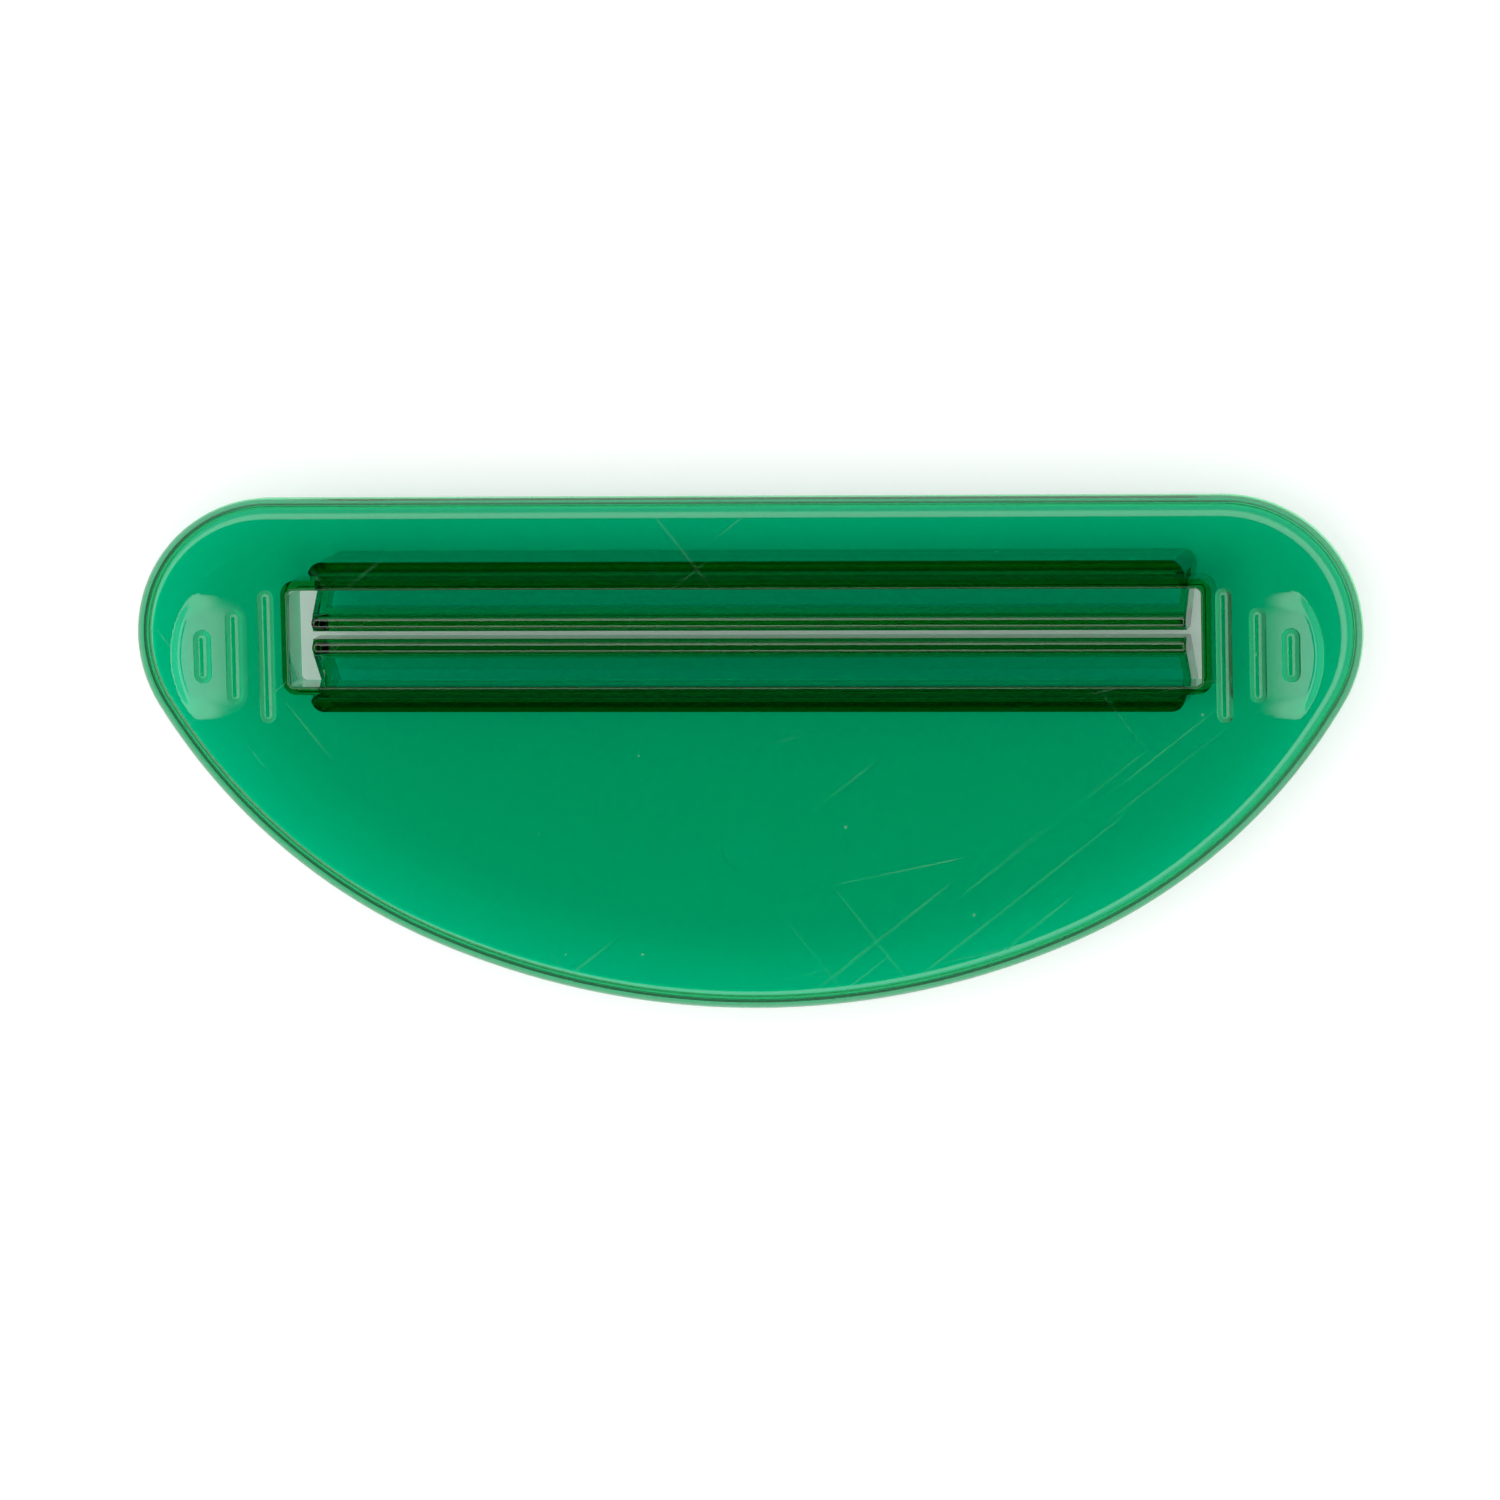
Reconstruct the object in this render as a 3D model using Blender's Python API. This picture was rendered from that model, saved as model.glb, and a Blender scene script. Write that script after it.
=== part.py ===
"""Toothpaste tube squeezer: a half-moon plate with a slot, and two rocking jaws hooked behind the slot.

The squeezer lies face up on the feet of its jaws. X runs along the plate, +Y points to its flat edge
and +Z comes out of its face. The origin is under the middle of the plate, at the level of the feet.
"""

import math

import bmesh
import bpy

MM = 0.001

# Slot through the plate, long enough for a flattened tube
SLOT_LENGTH = 85.0 * MM
SLOT_WIDTH = 8.95 * MM
SLOT_CORNER_RADIUS = 0.5 * MM
SLOT_TO_FLAT_EDGE = 12.97 * MM

# Outline of the plate: a flat edge, two corners, two flanks and a belly, all tangent to each other
GRIP_LENGTH = 14.65 * MM
PLATE_WIDTH = 47.6 * MM
CORNER_RADIUS = 12.7 * MM
FLANK_TO_BELLY_RADIUS = 0.73
BELLY_HALF_ANGLE = math.radians(23.5)

# Section of the plate and of its stepped rim
FACE_HEIGHT = 12.4 * MM
PLATE_WALL = 1.5 * MM
RIM_HEIGHT = 2.5 * MM
RIM_WALL = 1.1 * MM
FLANGE_WIDTH = 1.4 * MM
FLANGE_WALL = 0.9 * MM
FLANGE_ROUND = 0.25 * MM
FACE_EDGE_ROUND = 0.9 * MM
BACK_EDGE_ROUND = 0.4 * MM

# Collar behind the slot, with a ledge on each long side for a jaw to hook over
COLLAR_WALL = 0.85 * MM
COLLAR_DEPTH = 4.4 * MM
LEDGE_REACH = 0.45 * MM
LEDGE_HEIGHT = 0.7 * MM

# Jaws: a hooked root, an outer wall, a floor that rises to the slit, a lip along it and a gusset at each end
JAW_WALL = 0.95 * MM
JAW_END_WALL = 0.9 * MM
JAW_END_ROUND = 0.3 * MM
FOOT_WIDTH = 1.4 * MM
FOOT_ROUND = 0.4 * MM
SLIT_WIDTH = 0.7 * MM
LIP_WALL = 1.6 * MM
LIP_HEIGHT = 4.0 * MM
LIP_BELOW_FACE = 2.5 * MM
LIP_ABOVE_FLOOR = 1.2 * MM
LIP_EDGE_ROUND = 0.4 * MM
LIP_NOSE_ROUND = 0.5 * MM
FLOOR_WALL = 0.85 * MM
BEAD_RADIUS = 0.38 * MM

# Clearances between the jaws and the plate
JAW_END_GAP = 1.7 * MM
ROOT_GAP = 0.35 * MM
HOOK_GAP = 0.25 * MM
FLOOR_GAP = 0.8 * MM

# Grip at each end: a scoop that rolls down towards the end of the plate, with three raised ribs
GRIP_BELOW_SLOT = 1.65 * MM
SLOT_TO_FIRST_RIB = 2.1 * MM
RIB_PITCH = 3.05 * MM
RIB_LENGTHS = (12.6 * MM, 8.9 * MM, 5.0 * MM)
RIB_THICKNESS = 1.72 * MM
RIB_RISE = 0.3 * MM
RIB_ROOT_DEPTH = 0.8 * MM
RIB_SHOULDER_DEPTH = 0.25 * MM
RIB_DOME_ANGLE = math.radians(80)
SCOOP_WIDTH = 9.9 * MM
SCOOP_TO_EDGE = 3.8 * MM
SCOOP_ROLL_RADIUS = 75.0 * MM
# The roll starts this far above the face, so that it meets the face at a clean line
SCOOP_LIFT = 0.02 * MM
SCOOP_SIDE_SLOPE = 1.0

# Round mark that the moulding gate leaves in the back of the plate
GATE_MARK_RADIUS = 2.4 * MM
GATE_MARK_DEPTH = 0.12 * MM
GATE_MARK_BELOW_SLOT = 19.4 * MM

# Steps of the rounded stretches
CORNER_STEPS = 9
FLANK_STEPS = 14
BELLY_STEPS = 10
ROUND_STEPS = 4
BEAD_STEPS = 8
RIB_END_STEPS = 8
SCOOP_STEPS = 8
CIRCLE_STEPS = 36
SMOOTH_ANGLE = math.radians(35)

# Places and heights that follow from the sizes above
PLATE_LENGTH = SLOT_LENGTH + 2 * GRIP_LENGTH
FLAT_EDGE_Y = PLATE_WIDTH / 2
SLOT_Y = FLAT_EDGE_Y - SLOT_TO_FLAT_EDGE
GRIP_Y = SLOT_Y - GRIP_BELOW_SLOT
FIRST_RIB_X = SLOT_LENGTH / 2 + SLOT_TO_FIRST_RIB
BACK_HEIGHT = FACE_HEIGHT - PLATE_WALL
RIM_FOOT_HEIGHT = FACE_HEIGHT - RIM_HEIGHT
COLLAR_REACH = SLOT_WIDTH / 2 + COLLAR_WALL
COLLAR_FOOT_HEIGHT = BACK_HEIGHT - COLLAR_DEPTH
LEDGE_EDGE = COLLAR_REACH + LEDGE_REACH
JAW_LENGTH = SLOT_LENGTH - 2 * JAW_END_GAP
# The root of a jaw is the bead that it rocks on, at the top of the inside of its outer wall
ROOT_REACH = LEDGE_EDGE + HOOK_GAP
ROOT_HEIGHT = BACK_HEIGHT - ROOT_GAP - BEAD_RADIUS
JAW_REACH = ROOT_REACH + JAW_WALL
LIP_TOP_HEIGHT = FACE_HEIGHT - LIP_BELOW_FACE
LIP_FOOT_HEIGHT = LIP_TOP_HEIGHT - LIP_HEIGHT
LIP_BACK = SLIT_WIDTH / 2 + LIP_WALL
FOOT_EDGE = JAW_REACH - FOOT_WIDTH
# The floor is FLOOR_GAP under the collar at the edge of the slot and rises from there to the lip
FLOOR_EDGE_HEIGHT = COLLAR_FOOT_HEIGHT - FLOOR_GAP
FLOOR_SLOPE = (LIP_TOP_HEIGHT - LIP_ABOVE_FLOOR - FLOOR_EDGE_HEIGHT) / (SLOT_WIDTH / 2 - LIP_BACK)
FLOOR_DROP = FLOOR_WALL * math.sqrt(1 + FLOOR_SLOPE**2)
# A cutter or a joined lump runs this far past the face that it crosses
OVERRUN = 0.5 * MM

PLASTIC_GREEN = (0.0, 0.27, 0.10, 1.0)
PLASTIC_ROUGHNESS = 0.08
PLASTIC_REFRACTION = 1.58


def clear_scene():
    for old in list(bpy.data.objects):
        bpy.data.objects.remove(old)


def finish(made, material_name):
    """Give a solid its own green plastic and smooth shading between its sharp edges."""
    material = bpy.data.materials.new(material_name)
    material.use_nodes = True
    shader = material.node_tree.nodes["Principled BSDF"]
    shader.inputs["Base Color"].default_value = PLASTIC_GREEN
    shader.inputs["Roughness"].default_value = PLASTIC_ROUGHNESS
    shader.inputs["Metallic"].default_value = 0.0
    shader.inputs["IOR"].default_value = PLASTIC_REFRACTION
    made.data.materials.append(material)
    made.data.shade_smooth()
    made.data.set_sharp_from_angle(angle=SMOOTH_ANGLE)


def arc(centre, radius, start, end, steps):
    """Points of an arc in a plane, both ends included, with angles in radians."""
    points = []
    for step in range(steps + 1):
        angle = start + (end - start) * step / steps
        points.append((centre[0] + radius * math.cos(angle), centre[1] + radius * math.sin(angle)))
    return points


def belly_radius():
    """Radius of the belly arc at which corner, flank and belly meet tangent to each other."""
    share = 1 - FLANK_TO_BELLY_RADIUS
    across = share * math.sin(BELLY_HALF_ANGLE)
    along = 1 - share * math.cos(BELLY_HALF_ANGLE)
    corner_x = PLATE_LENGTH / 2 - CORNER_RADIUS
    corner_y = PLATE_WIDTH - CORNER_RADIUS
    square = across**2 + along**2 - FLANK_TO_BELLY_RADIUS**2
    linear = 2 * (FLANK_TO_BELLY_RADIUS * CORNER_RADIUS - corner_x * across - corner_y * along)
    plain = corner_x**2 + corner_y**2 - CORNER_RADIUS**2
    root = math.sqrt(linear**2 - 4 * square * plain)
    return (-linear - root) / (2 * square)


def outline(inset):
    """The plate's outline, drawn in by inset: up its left side, along the flat edge and round again."""
    belly = belly_radius()
    flank = belly * FLANK_TO_BELLY_RADIUS
    corner_centre = (PLATE_LENGTH / 2 - CORNER_RADIUS, FLAT_EDGE_Y - CORNER_RADIUS)
    belly_centre = (0.0, belly - PLATE_WIDTH / 2)
    flank_centre = (
        (belly - flank) * math.sin(BELLY_HALF_ANGLE),
        belly_centre[1] - (belly - flank) * math.cos(BELLY_HALF_ANGLE),
    )
    flank_end = math.atan2(corner_centre[1] - flank_centre[1], corner_centre[0] - flank_centre[0])
    down = -math.pi / 2
    belly_end = down + BELLY_HALF_ANGLE
    right = arc(belly_centre, belly - inset, down, belly_end, BELLY_STEPS)
    right += arc(flank_centre, flank - inset, belly_end, flank_end, FLANK_STEPS)[1:]
    right += arc(corner_centre, CORNER_RADIUS - inset, flank_end, 0.0, CORNER_STEPS)[1:]
    right += arc(corner_centre, CORNER_RADIUS - inset, 0.0, math.pi / 2, CORNER_STEPS)[1:]
    left = [(-x, y) for x, y in reversed(right[1:])]
    return left + right


def rim_section():
    """(inset, height) pairs from the back of the plate, round its rim, to its face."""
    inner_wall = FLANGE_WIDTH + RIM_WALL
    back_centre = (inner_wall + BACK_EDGE_ROUND, BACK_HEIGHT - BACK_EDGE_ROUND)
    foot_centre = (FLANGE_ROUND, RIM_FOOT_HEIGHT + FLANGE_ROUND)
    flange_centre = (FLANGE_ROUND, RIM_FOOT_HEIGHT + FLANGE_WALL - FLANGE_ROUND)
    face_centre = (FLANGE_WIDTH + FACE_EDGE_ROUND, FACE_HEIGHT - FACE_EDGE_ROUND)
    section = arc(back_centre, BACK_EDGE_ROUND, math.pi / 2, math.pi, ROUND_STEPS)
    section.append((inner_wall, RIM_FOOT_HEIGHT))
    section += arc(foot_centre, FLANGE_ROUND, -math.pi / 2, -math.pi, ROUND_STEPS)
    section += arc(flange_centre, FLANGE_ROUND, math.pi, math.pi / 2, ROUND_STEPS)
    section.append((FLANGE_WIDTH, RIM_FOOT_HEIGHT + FLANGE_WALL))
    section += arc(face_centre, FACE_EDGE_ROUND, math.pi, math.pi / 2, ROUND_STEPS)
    return section


def add_loft(mesh, rings):
    """A closed body through rings of points that have the same number of points each."""
    loops = [[mesh.verts.new(point) for point in ring] for ring in rings]
    for lower, upper in zip(loops, loops[1:]):
        for here in range(len(lower)):
            after = (here + 1) % len(lower)
            mesh.faces.new((lower[here], lower[after], upper[after], upper[here]))
    mesh.faces.new(loops[0])
    mesh.faces.new(loops[-1])


def level(points, height):
    return [(x, y, height) for x, y in points]


def add_object(name, mesh, location=(0.0, 0.0, 0.0)):
    bmesh.ops.recalc_face_normals(mesh, faces=mesh.faces)
    data = bpy.data.meshes.new(name)
    mesh.to_mesh(data)
    mesh.free()
    made = bpy.data.objects.new(name, data)
    made.location = location
    bpy.context.collection.objects.link(made)
    return made


def combine(base, tool, operation):
    tool.hide_render = True
    tool.display_type = "WIRE"
    modifier = base.modifiers.new(tool.name, "BOOLEAN")
    modifier.operation = operation
    modifier.solver = "EXACT"
    modifier.object = tool


def lofted(name, rings):
    mesh = bmesh.new()
    add_loft(mesh, rings)
    return add_object(name, mesh)


def slot_outline(grow):
    """The slot's rounded rectangle, made larger by grow on every side."""
    radius = SLOT_CORNER_RADIUS + grow
    x = SLOT_LENGTH / 2 - SLOT_CORNER_RADIUS
    y = SLOT_WIDTH / 2 - SLOT_CORNER_RADIUS
    points = []
    for quarter, (side_x, side_y) in enumerate(((1, 1), (-1, 1), (-1, -1), (1, -1))):
        start = quarter * math.pi / 2
        centre = (side_x * x, SLOT_Y + side_y * y)
        points += arc(centre, radius, start, start + math.pi / 2, ROUND_STEPS)
    return points


def slot_cutter():
    points = slot_outline(0.0)
    low = COLLAR_FOOT_HEIGHT - OVERRUN
    return lofted("slot_cutter", [level(points, low), level(points, FACE_HEIGHT + OVERRUN)])


def collar_block():
    """The collar before the slot is cut through it, with its top sunk into the plate."""
    points = slot_outline(COLLAR_WALL)
    return lofted("collar_block", [level(points, COLLAR_FOOT_HEIGHT), level(points, BACK_HEIGHT + OVERRUN)])


def ledges():
    """A ledge on the outside of each long wall of the collar, which the beads of the jaws hook over."""
    top = ROOT_HEIGHT - BEAD_RADIUS - ROOT_GAP
    end = JAW_LENGTH / 2
    inner = COLLAR_REACH - COLLAR_WALL / 2
    mesh = bmesh.new()
    for side in (1, -1):
        low_y = SLOT_Y + side * inner
        high_y = SLOT_Y + side * LEDGE_EDGE
        corners = ((-end, low_y), (end, low_y), (end, high_y), (-end, high_y))
        add_loft(mesh, [level(corners, top - LEDGE_HEIGHT), level(corners, top)])
    return add_object("ledges", mesh)


def rib_outline(middle_x, half_length, half_thickness):
    """Outline of a bar with round ends that runs along Y."""
    straight = half_length - half_thickness
    points = arc((middle_x, GRIP_Y + straight), half_thickness, 0.0, math.pi, RIB_END_STEPS)
    return points + arc((middle_x, GRIP_Y - straight), half_thickness, math.pi, 2 * math.pi, RIB_END_STEPS)


def grip_ribs():
    """Three bars with round ends and domed tops at each end of the plate."""
    half = RIB_THICKNESS / 2
    shoulder = FACE_HEIGHT - RIB_SHOULDER_DEPTH
    dome_height = RIB_RISE + RIB_SHOULDER_DEPTH
    mesh = bmesh.new()
    for side in (1, -1):
        for place, length in enumerate(RIB_LENGTHS):
            middle_x = side * (FIRST_RIB_X + place * RIB_PITCH)
            rings = [level(rib_outline(middle_x, length / 2, half), FACE_HEIGHT - RIB_ROOT_DEPTH)]
            for step in range(ROUND_STEPS + 1):
                angle = RIB_DOME_ANGLE * step / ROUND_STEPS
                inset = half * (1 - math.cos(angle))
                points = rib_outline(middle_x, length / 2 - inset, half - inset)
                rings.append(level(points, shoulder + dome_height * math.sin(angle)))
            add_loft(mesh, rings)
    return add_object("grip_ribs", mesh)


def scoop_cutter():
    """Two scoops, one at each grip, with sloping sides that keep clear of the plate's edge."""
    roll_centre = (FIRST_RIB_X, FACE_HEIGHT - SCOOP_ROLL_RADIUS + SCOOP_LIFT)
    roll_end = math.acos((PLATE_LENGTH / 2 - FIRST_RIB_X) / SCOOP_ROLL_RADIUS)
    roll = arc(roll_centre, SCOOP_ROLL_RADIUS, math.pi / 2, roll_end, SCOOP_STEPS)
    top = FACE_HEIGHT + OVERRUN
    section = roll + [(roll[-1][0], top), (roll[0][0], top)]
    mesh = bmesh.new()
    for side in (1, -1):
        rings = []
        for end in (-1, 1):
            y = GRIP_Y + end * SCOOP_WIDTH / 2
            rings.append([(side * x, y, height) for x, height in section])
        add_loft(mesh, rings)
    scoops = add_object("scoop_cutter", mesh)
    low = roll[-1][1] - OVERRUN
    deep = SCOOP_TO_EDGE + (FACE_HEIGHT - low) / SCOOP_SIDE_SLOPE
    wide = SCOOP_TO_EDGE - OVERRUN / SCOOP_SIDE_SLOPE
    inside = lofted("scoop_limit", [level(outline(deep), low), level(outline(wide), top)])
    combine(scoops, inside, "INTERSECT")
    return scoops


def gate_mark_cutter():
    middle = (0.0, SLOT_Y - GATE_MARK_BELOW_SLOT)
    points = arc(middle, GATE_MARK_RADIUS, 0.0, 2 * math.pi, CIRCLE_STEPS)[1:]
    rings = [level(points, BACK_HEIGHT - OVERRUN), level(points, BACK_HEIGHT + GATE_MARK_DEPTH)]
    return lofted("gate_mark_cutter", rings)


def front_plate():
    plate = lofted("front_plate", [level(outline(inset), height) for inset, height in rim_section()])
    combine(plate, scoop_cutter(), "DIFFERENCE")
    combine(plate, grip_ribs(), "UNION")
    combine(plate, collar_block(), "UNION")
    combine(plate, ledges(), "UNION")
    combine(plate, slot_cutter(), "DIFFERENCE")
    combine(plate, gate_mark_cutter(), "DIFFERENCE")
    finish(plate, "plate_green")


def floor_height(reach):
    """Height of the top of a jaw's floor at a distance from the middle of the slit."""
    return FLOOR_EDGE_HEIGHT + (SLOT_WIDTH / 2 - reach) * FLOOR_SLOPE


def jaw_section():
    """(reach, height) points: over the lip, down the gusset's edge, up the outer wall and round the bead."""
    quarter = math.pi / 2
    lip_front = SLIT_WIDTH / 2
    back_edge = (LIP_BACK - LIP_EDGE_ROUND, LIP_TOP_HEIGHT - LIP_EDGE_ROUND)
    front_edge = (lip_front + LIP_EDGE_ROUND, LIP_TOP_HEIGHT - LIP_EDGE_ROUND)
    nose = (lip_front + LIP_NOSE_ROUND, LIP_FOOT_HEIGHT + LIP_NOSE_ROUND)
    slope = math.atan2(LIP_FOOT_HEIGHT, FOOT_EDGE - nose[0])
    section = arc(back_edge, LIP_EDGE_ROUND, 0.0, quarter, ROUND_STEPS)
    section += arc(front_edge, LIP_EDGE_ROUND, quarter, math.pi, ROUND_STEPS)
    section += arc(nose, LIP_NOSE_ROUND, math.pi, 3 * quarter - slope, ROUND_STEPS)
    section.append((FOOT_EDGE, 0.0))
    section += arc((JAW_REACH - FOOT_ROUND, FOOT_ROUND), FOOT_ROUND, -quarter, 0.0, ROUND_STEPS)
    section.append((JAW_REACH, ROOT_HEIGHT + BEAD_RADIUS))
    section += arc((ROOT_REACH, ROOT_HEIGHT), BEAD_RADIUS, quarter, 3 * quarter, BEAD_STEPS)
    section.append((ROOT_REACH, floor_height(ROOT_REACH)))
    section.append((LIP_BACK, floor_height(LIP_BACK)))
    return section


def jaw_hollow_section():
    """(reach, height) points of the room under a jaw's floor, between its gussets."""
    return [
        (ROOT_REACH, floor_height(ROOT_REACH) - FLOOR_DROP),
        (ROOT_REACH, -OVERRUN),
        (LIP_BACK, -OVERRUN),
        (LIP_BACK, floor_height(LIP_BACK) - FLOOR_DROP),
    ]


def jaw_prism(section, side, half_length):
    """A section run along X, measured from the jaw's root line so that it can rock about it."""
    mesh = bmesh.new()
    ends = []
    for x in (-half_length, half_length):
        ends.append([(x, side * (reach - ROOT_REACH), height - ROOT_HEIGHT) for reach, height in section])
    add_loft(mesh, ends)
    return mesh


def jaw(name, side):
    """A wall, a floor and a lip with a gusset at each end. Its origin is on the line that it rocks about."""
    root = (0.0, SLOT_Y + side * ROOT_REACH, ROOT_HEIGHT)
    body = jaw_prism(jaw_section(), side, JAW_LENGTH / 2)
    rims = [edge for edge in body.edges if edge.verts[0].co.x == edge.verts[1].co.x]
    bmesh.ops.bevel(body, geom=rims, offset=JAW_END_ROUND, segments=ROUND_STEPS, profile=0.5, affect="EDGES")
    made = add_object(name, body, root)
    hollow = jaw_prism(jaw_hollow_section(), side, JAW_LENGTH / 2 - JAW_END_WALL)
    combine(made, add_object(name + "_hollow", hollow, root), "DIFFERENCE")
    finish(made, name + "_green")


def main():
    clear_scene()
    front_plate()
    jaw("upper_jaw", 1)
    jaw("lower_jaw", -1)


main()
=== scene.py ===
"""Looks of a toothpaste tube squeezer in see-through green plastic, lying face up on a white table.

X runs along the plate, +Y points to its flat edge and +Z comes out of its face. Sizes are in metres.
"""

import math

import bmesh
import bpy
from mathutils import Matrix, Vector


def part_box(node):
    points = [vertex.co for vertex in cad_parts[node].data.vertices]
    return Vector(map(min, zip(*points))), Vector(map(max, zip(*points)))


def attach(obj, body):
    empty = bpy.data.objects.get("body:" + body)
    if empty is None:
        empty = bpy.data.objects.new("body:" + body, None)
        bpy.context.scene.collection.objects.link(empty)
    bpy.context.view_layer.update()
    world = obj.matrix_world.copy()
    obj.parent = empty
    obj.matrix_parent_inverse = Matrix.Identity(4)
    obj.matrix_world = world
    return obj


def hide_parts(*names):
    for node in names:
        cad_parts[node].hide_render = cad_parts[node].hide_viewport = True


MM = 0.001

# Camera: its place, the point of the face that it looks at, and its small turn to the left
CAMERA_X = 153.0 * MM
CAMERA_Y = 117.0 * MM
CAMERA_ABOVE_FACE = 900.0 * MM
AIM_X = 0.61 * MM
AIM_Y = 0.5 * MM
CAMERA_TURN = math.radians(-1.21)
PICTURE_WIDTH = 137.9 * MM
SENSOR_WIDTH = 36.0

# Outline of the plate: a flat edge, two corners, two flanks and a belly, all tangent to each other
CORNER_RADIUS = 12.7 * MM
FLANK_TO_BELLY_RADIUS = 0.73
BELLY_HALF_ANGLE = math.radians(23.5)

# Section of the plate, whose face rolls down to the wall round its edge
PLATE_WALL = 1.5 * MM
RIM_HEIGHT = 2.5 * MM
RIM_WALL = 1.2 * MM
RIM_FOOT_ROUND = 0.25 * MM
ROLL_WIDTH = 1.9 * MM
ROLL_HEIGHT = 2.0 * MM

# Slot with its collar and the ledges that the jaws hook over
SLOT_LENGTH = 85.0 * MM
SLOT_WIDTH = 8.95 * MM
SLOT_CORNER_RADIUS = 0.5 * MM
SLOT_TO_FLAT_EDGE = 12.97 * MM
SLOT_EDGE_ROUND = 0.2 * MM
COLLAR_WALL = 0.85 * MM
COLLAR_DEPTH = 4.4 * MM
COLLAR_FOOT_ROUND = 0.2 * MM
LEDGE_REACH = 0.45 * MM
LEDGE_HEIGHT = 0.7 * MM

# Jaws
JAW_END_GAP = 1.7 * MM
JAW_WALL = 0.95 * MM
JAW_END_WALL = 0.9 * MM
JAW_END_ROUND = 0.3 * MM
JAW_CORNER_RADIUS = 1.3 * MM
FOOT_WIDTH = 1.4 * MM
FOOT_ROUND = 0.4 * MM
SLIT_WIDTH = 0.7 * MM
LIP_WALL = 1.6 * MM
LIP_HEIGHT = 4.0 * MM
LIP_BELOW_FACE = 2.5 * MM
LIP_ABOVE_FLOOR = 1.2 * MM
LIP_EDGE_ROUND = 0.6 * MM
LIP_NOSE_ROUND = 0.5 * MM
FLOOR_WALL = 0.85 * MM
BEAD_RADIUS = 0.38 * MM
ROOT_GAP = 0.35 * MM
HOOK_GAP = 0.25 * MM
FLOOR_GAP = 0.8 * MM

# Grips
GRIP_BELOW_SLOT = 1.65 * MM
SLOT_TO_FIRST_RIB = 2.1 * MM
RIB_PITCH = 3.05 * MM
RIB_LENGTHS = (12.6 * MM, 8.9 * MM, 5.0 * MM)
RIB_THICKNESS = 1.72 * MM
RIB_RISE = 0.3 * MM
RIB_ROOT_DEPTH = 0.8 * MM
RIB_SHOULDER_DEPTH = 0.25 * MM
RIB_DOME_ANGLE = math.radians(80)
SCOOP_WIDTH = 9.9 * MM
SCOOP_TO_EDGE = 3.8 * MM
SCOOP_ROLL_RADIUS = 75.0 * MM
SCOOP_LIFT = 0.02 * MM
SCOOP_SOFT_SIDE = 3.2 * MM
SCOOP_SOFT_END = 1.0 * MM
SCOOP_END_RADIUS = 9.0 * MM

# Round mark that the moulding gate leaves in the back of the plate
GATE_MARK_RADIUS = 2.4 * MM
GATE_MARK_DEPTH = 0.12 * MM
GATE_MARK_BELOW_SLOT = 19.4 * MM

# Steps of the rounded stretches
CORNER_STEPS = 28
FLANK_STEPS = 36
BELLY_STEPS = 28
ROUND_STEPS = 8
ROLL_STEPS = 20
RIB_END_STEPS = 16
SCOOP_STEPS = 48
CIRCLE_STEPS = 96
SMOOTH_ANGLE = math.radians(30)

# A cutter or a joined lump runs this far past the face that it crosses
OVERRUN = 0.5 * MM

# Plastic: the tint of its surface, and the share of red, green and blue light that then gets through the wall
SURFACE_TINT = (0.0, 0.61, 0.42)
SHARE_THROUGH_WALL = (0.25, 0.8, 0.54)
PLASTIC_REFRACTION = 1.57
PLASTIC_ROUGHNESS = 0.03
SURFACE_SHINE = 0.08
MARK_DEPTH = 0.02 * MM

# Marks: three sets of scratches, each a direction and the level of noise from which a line shows
SCRATCHES = ((math.radians(38), 0.70), (math.radians(-52), 0.72), (math.radians(12), 0.74))
SCRATCH_EDGE = 0.03
WORN_LEVELS = (0.48, 0.62)
# The specks' soft edge, in widths of a cell, and the share of the cells that has none
SPECK_RADII = (0.03, 0.07)
SPECK_EMPTY_SHARE = 0.8
HAZE_ROUGHNESS = 0.03
MARK_ROUGHNESS = 0.25
# Lines, worn patches, cells of specks, flow waves and patches of haze per metre, with their stretch
SCRATCH_LINES = 60.0
SCRATCH_STRETCH = (3.0, 0.025, 1.0)
WEAR_PATCHES = 45.0
SPECK_CELLS = 420.0
FLOW_WAVES = 90.0
FLOW_STRETCH = (2.5, 1.0, 1.0)
HAZE_PATCHES = 160.0

# Table and light
TABLE_HALF = 0.9
TABLE_WHITE = (0.9, 0.9, 0.9, 1.0)
TABLE_LIFT = 0.37
# Painted shade: the glow is lower under the slot, where the plate would shade the table, and grows to the
# full one over this distance
PAINTED_SHADE_LIFT = 0.2
PAINTED_SHADE_FADE = 5.0 * MM
SOFTBOX_BRIGHTNESS = 2.3
STUDIO_BRIGHTNESS = 0.45
# The softbox overhead ends at this slope from straight up
SOFTBOX_SLOPE = 0.5
SOFTBOX_BLUR = 0.3
# The dark gap in the softbox round the camera, which the flat face mirrors: middle and half-widths, as slopes
GAP_MIDDLE = (-0.155, -0.13)
GAP_HALF = (0.095, 0.06)
GAP_BLUR = 0.13
# The white backdrop is full up to the first height and gone at the second, as shares of straight up
BACKDROP_HEIGHTS = (0.05, 0.2)
HORIZON = 0.001


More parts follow.
